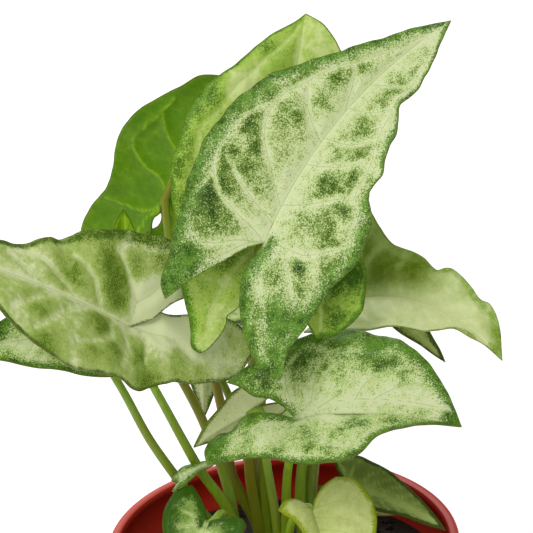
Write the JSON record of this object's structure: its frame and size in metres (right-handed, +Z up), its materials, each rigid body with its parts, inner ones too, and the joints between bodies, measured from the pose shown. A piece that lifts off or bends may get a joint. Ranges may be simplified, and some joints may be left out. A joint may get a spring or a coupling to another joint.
{
  "type": "potted syngonium",
  "caption": "Arrowhead plant: variegated arrow-shaped leaves on long stalks, rising from a mix-filled round tapered plastic nursery pot that stands on its flat base.",
  "frame": {"origin": "centre of the pot's flat underside", "axes": "+Z up, along the pot's axis; -Y towards the side that the large front leaf faces"},
  "size_m": [0.1507, 0.1355, 0.2516],
  "materials": {
    "leaf_variegated": "soft satin leaf, cream and mid green in patches",
    "leaf_green": "soft satin leaf",
    "leaf_dry": "dry and papery",
    "stalk": "smooth, slightly glossy",
    "pot": "moulded, satin",
    "potting_mix": "rough, crumbly"
  },
  "bodies": {
    "root": {"blade_back_left": "leaf_variegated", "blade_back_low": "leaf_variegated", "blade_back_right": "leaf_variegated", "blade_back_top": "leaf_variegated", "blade_behind": "leaf_variegated", "blade_front": "leaf_variegated", "blade_hanging": "leaf_green", "blade_husk": "leaf_dry", "blade_left": "leaf_variegated", "blade_left_low": "leaf_variegated", "blade_lower_right": "leaf_variegated", "blade_new": "leaf_variegated", "blade_pale_low": "leaf_variegated", "blade_pot_left": "leaf_variegated", "blade_pot_right": "leaf_green", "blade_right": "leaf_variegated", "blade_right_back": "leaf_green", "blade_rim_left": "leaf_variegated", "blade_small_left": "leaf_green", "blade_upper_left": "leaf_green", "pot": "pot", "potting_mix": "potting_mix", "shoot_back": "stalk", "shoot_front": "stalk", "shoot_left": "stalk", "shoot_right": "stalk"}
  },
  "joints": []
}
